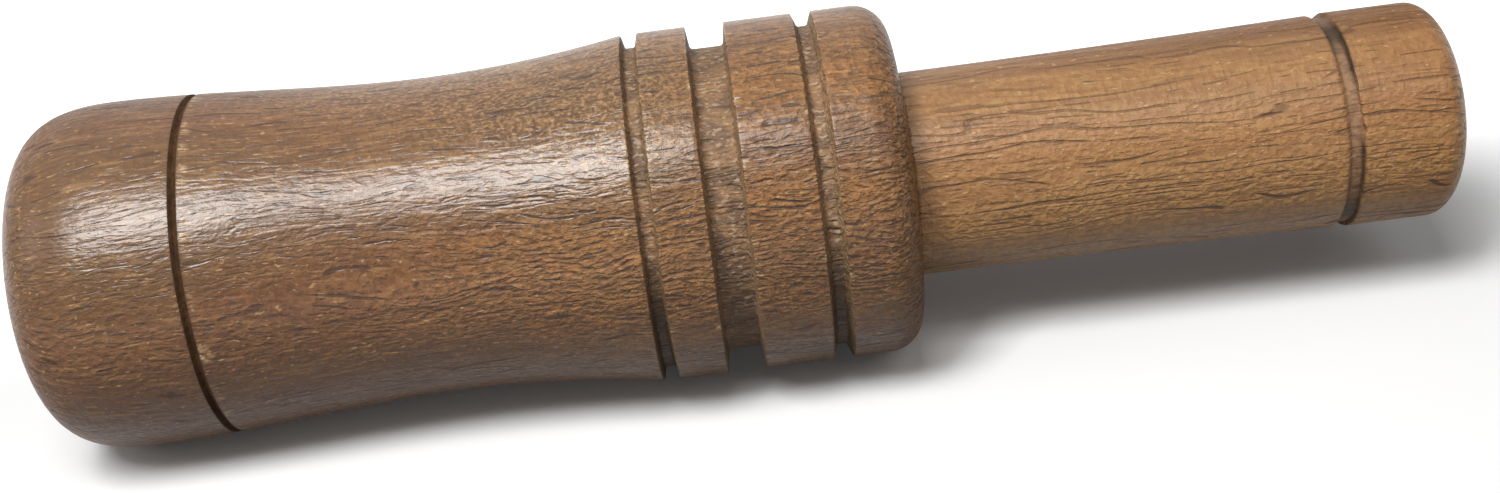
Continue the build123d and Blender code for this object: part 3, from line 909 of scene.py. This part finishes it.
# The burned line is charred from edge to edge, and the grooves are bare from this far below the bands and
# inside the edge of the stem's groove. All else is lacquered
BARE_FROM = 0.3 * MM
STEM_BARE_FROM = 0.1 * MM
LACQUERED, CHARRED, BARE = 0, 1, 2
for finish in (lacquered_walnut, charred_walnut(), bare_walnut):
    barrel.data.materials.append(finish)
row_x, row_r = barrel_chain.T
on_outside = row_r > OUTSIDE_R
in_line = (np.abs(row_x - score_x) < SCORE_HALF) & on_outside
in_groove = (row_r < band_r - BARE_FROM) & (row_x > flare_x) & (row_x < end_band_x) & on_outside
row_finish = np.where(in_groove | np.roll(in_groove, -1), BARE, LACQUERED)
row_finish = np.where(in_line | np.roll(in_line, -1), CHARRED, row_finish)
barrel.data.polygons.foreach_set("material_index", np.repeat(row_finish, BARREL_AROUND).astype(np.int32))
for finish in (lacquered_pale_wood, bare_pale_wood):
    stem.data.materials.append(finish)
row_x, row_r = stem_chain.T
in_groove = (row_x > groove_x + STEM_BARE_FROM) & (row_x < collar_x) & (row_r > STEM_OUTSIDE_R)
row_finish = in_groove & np.roll(in_groove, -1)
stem.data.polygons.foreach_set("material_index", np.repeat(row_finish, STEM_AROUND).astype(np.int32))


def even_finish(name, fields, tone, dull, relief, ior, clear=0.0):
    """A finish that is the same all over its piece. tone mixes two colours by a field, dull runs between two
    roughnesses by a field, relief is a field and its depth in mm, and clear is the share of light that
    passes through."""
    material, tree, place = started(name)
    found = grain(tree, place, fields)
    tone_field, one, other = tone
    mixed = {0: found[tone_field], 6: linear(one), 7: linear(other)}
    dull_field, least, most = dull
    dullness = {"Value": found[dull_field], "To Min": least, "To Max": most}
    relief_field, depth_mm = relief
    raised = {"Height": found[relief_field], "Distance": depth_mm * MM}
    shader = add(
        tree,
        "ShaderNodeBsdfPrincipled",
        {
            "Base Color": add(tree, "ShaderNodeMix", mixed, data_type="RGBA").outputs[2],
            "Roughness": add(tree, "ShaderNodeMapRange", dullness).outputs[0],
            "IOR": ior,
            "Transmission Weight": clear,
            "Normal": add(tree, "ShaderNodeBump", raised).outputs[0],
        },
    )
    add(tree, "ShaderNodeOutputMaterial", {"Surface": shader.outputs[0]})
    return material


# Black ABS from a spark-eroded mould: a fine even grain of about 0.25 mm and a low satin sheen
moulded_abs = even_finish(
    "moulded_abs",
    fields={"spark": (0.25, 0.25, 2.0, 0.30, 0.70), "flow": (14.0, 3.0, 2.0, 0.35, 0.65)},
    tone=("flow", "#1b1b1d", "#252528"),
    dull=("spark", 0.36, 0.52),
    relief=("spark", 0.012),
    ior=1.54,
)

# Frosted polyester film, cut and tuned by sanding: milky, part of the light passes through, and fine
# scratches run along the reed
frosted_polyester = even_finish(
    "frosted_polyester",
    fields={"scratches": (9.0, 0.16, 2.0, 0.45, 0.75), "haze": (5.0, 3.0, 2.0, 0.35, 0.70)},
    tone=("haze", "#e8e6d8", "#d6d3c2"),
    dull=("scratches", 0.24, 0.46),
    relief=("scratches", 0.006),
    ior=1.57,
    clear=0.35,
)

# Black nitrile rubber, moulded: a soft dull sheen with a faint bloom in patches
moulded_rubber = even_finish(
    "moulded_rubber",
    fields={"bloom": (2.6, 2.6, 3.0, 0.42, 0.72), "skin": (0.3, 0.3, 1.0, 0.30, 0.70)},
    tone=("bloom", "#171717", "#2a2927"),
    dull=("bloom", 0.45, 0.62),
    relief=("skin", 0.008),
    ior=1.52,
)


def cut_cork():
    """Natural cork cut with a blade: cells that show as a soft mottle, dark brown lenticels across
    the slice, and a dull open surface."""
    material, tree, place = started("cut_cork")
    found = grain(
        tree,
        place,
        {
            "mottle": (1.1, 0.8, 3.0, 0.32, 0.68),
            "lenticels": (1.6, 0.55, 1.0, 0.62, 0.70),
            "cells": (0.22, 0.22, 1.0, 0.30, 0.70),
        },
    )
    layers = [("mottle", 0.55, "#9d7046"), ("cells", 0.35, "#cda677"), ("lenticels", 0.85, "#56381f")]
    pits = summed(tree, found, {"lenticels": -2.0}, found["cells"])
    relief = add(tree, "ShaderNodeBump", {"Height": pits, "Distance": 0.05 * MM})
    shader = add(
        tree,
        "ShaderNodeBsdfPrincipled",
        {
            "Base Color": layered(tree, found, "#b98c5e", layers),
            "Roughness": 0.82,
            "IOR": 1.45,
            "Normal": relief.outputs[0],
        },
    )
    add(tree, "ShaderNodeOutputMaterial", {"Surface": shader.outputs[0]})
    return material


# The pieces inside the call keep their solids and take these finishes
inner_finishes = {
    "tone_board": moulded_abs,
    "wedge": cut_cork(),
    "lower_reed_heel": frosted_polyester,
    "lower_reed_tongue": frosted_polyester,
    "upper_reed_heel": frosted_polyester,
    "upper_reed_tongue": frosted_polyester,
    "front_ring": moulded_rubber,
    "rear_ring": moulded_rubber,
}
for node, finish in inner_finishes.items():
    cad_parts[node].material_slots[0].material = finish

# Camera: above the near side of the call, aimed past its axis and rolled
scene = bpy.context.scene
camera_data = bpy.data.cameras.new("view")
camera_data.sensor_fit = "HORIZONTAL"
camera_data.sensor_width = SENSOR_MM
camera_data.lens = LENS_MM
camera_data.clip_start = 10 * MM
camera = bpy.data.objects.new("view", camera_data)
scene.collection.objects.link(camera)
scene.camera = camera
turn = (
    Matrix.Rotation(radians(90) - VIEW_ELEVATION, 4, "X")
    @ Matrix.Rotation(-VIEW_TURN, 4, "Y")
    @ Matrix.Rotation(-VIEW_ROLL, 4, "Z")
)
eye = Vector((AXIS_SHIFT, 0, axis_z)) + turn @ Vector((0, -AXIS_UP, AXIS_DISTANCE))
camera.matrix_world = Matrix.Translation(eye) @ turn


def seen_rays(tree):
    """1 for rays from the camera, from reflections and through clear things, and 0 for light."""
    rays = add(tree, "ShaderNodeLightPath").outputs
    either = add(
        tree,
        "ShaderNodeMath",
        {0: rays["Is Camera Ray"], 1: rays["Is Glossy Ray"]},
        operation="MAXIMUM",
    )
    return add(
        tree,
        "ShaderNodeMath",
        {0: either.outputs[0], 1: rays["Is Transmission Ray"]},
        operation="MAXIMUM",
    ).outputs[0]


# Floor: pale paper that keeps the shadow in front of the call and reads as white around it. Its own light
# rises with the distance from the middle of the shade, in metres, of which lengths along the call count
# only a part
FLOOR_HALF = 2.0
LIFT_NEAR, LIFT_FAR = 0.03, 0.75
LIFT_FROM, LIFT_TO = 0.045, 0.085
SHADE_AT = 0.03
SHADE_LENGTHS = 0.3
floor_mesh = bpy.data.meshes.new("floor")
corner_signs = np.array([(-1, -1, 0), (1, -1, 0), (1, 1, 0), (-1, 1, 0)])
floor_mesh.from_pydata((corner_signs * FLOOR_HALF).tolist(), [], [(0, 1, 2, 3)])
floor = bpy.data.objects.new("floor", floor_mesh)
scene.collection.objects.link(floor)
floor_paper = bpy.data.materials.new("floor_paper")
floor_paper.use_nodes = True
paper = floor_paper.node_tree
paper.nodes.clear()
matte = add(paper, "ShaderNodeBsdfDiffuse", {"Color": linear("#f6f6f6")})
bounce = add(paper, "ShaderNodeBsdfDiffuse", {"Color": linear("#5c5c5c")})
spot = add(paper, "ShaderNodeTexCoord").outputs["Object"]
from_shade = {"Vector": spot, "Location": (0, SHADE_AT, 0), "Scale": (SHADE_LENGTHS, 1, 1)}
shade_place = add(paper, "ShaderNodeMapping", from_shade).outputs[0]
away = add(paper, "ShaderNodeVectorMath", {0: shade_place}, operation="LENGTH").outputs["Value"]
rise = {"Value": away, "From Min": LIFT_FROM, "From Max": LIFT_TO, "To Min": LIFT_NEAR, "To Max": LIFT_FAR}
strength = add(paper, "ShaderNodeMapRange", rise, interpolation_type="SMOOTHSTEP").outputs[0]
lift = add(paper, "ShaderNodeEmission", {"Strength": strength})
lifted = add(paper, "ShaderNodeAddShader", {0: matte.outputs[0], 1: lift.outputs[0]})
floor_seen = add(
    paper, "ShaderNodeMixShader", {0: seen_rays(paper), 1: bounce.outputs[0], 2: lifted.outputs[0]}
)
add(paper, "ShaderNodeOutputMaterial", {"Surface": floor_seen.outputs[0]})
floor_mesh.materials.append(floor_paper)

# Studio: an even white room, and the soft boxes below
ROOM_LIGHT = 0.06
world = bpy.data.worlds.new("room")
scene.world = world
world.use_nodes = True
room = world.node_tree
room.nodes.clear()
fill = add(room, "ShaderNodeBackground", {"Color": linear("#ffffff"), "Strength": ROOM_LIGHT})
white = add(room, "ShaderNodeBackground", {"Color": linear("#ffffff"), "Strength": 1.0})
backdrop = add(room, "ShaderNodeMixShader", {0: seen_rays(room), 1: fill.outputs[0], 2: white.outputs[0]})
add(room, "ShaderNodeOutputWorld", {"Surface": backdrop.outputs[0]})

# The main soft box stands high on the near side, towards the mouth, with a smaller one beside it and weak
# ones overhead and at both ends. Each has its width and length, its power in watts, and its place
soft_boxes = {
    "near_box": (0.14, 0.21, 2.15, (-0.155, -0.220, 0.450)),
    "middle_box": (0.10, 0.16, 0.50, (-0.02, -0.215, 0.455)),
    "top_box": (0.40, 0.40, 0.08, (-0.08, 0.10, 0.50)),
    "left_box": (0.25, 0.25, 0.35, (-0.45, -0.12, 0.30)),
    "right_box": (0.30, 0.30, 0.35, (0.25, -0.22, 0.35)),
}
for name, (width, length, power, place) in soft_boxes.items():
    light = bpy.data.lights.new(name, "AREA")
    light.shape = "RECTANGLE"
    light.size, light.size_y = width, length
    light.energy = power
    soft_box = bpy.data.objects.new(name, light)
    scene.collection.objects.link(soft_box)
    aim = Vector((0, 0, axis_z)) - Vector(place)
    soft_box.matrix_world = Matrix.Translation(place) @ aim.to_track_quat("-Z", "Y").to_matrix().to_4x4()

scene.view_settings.view_transform = "Standard"
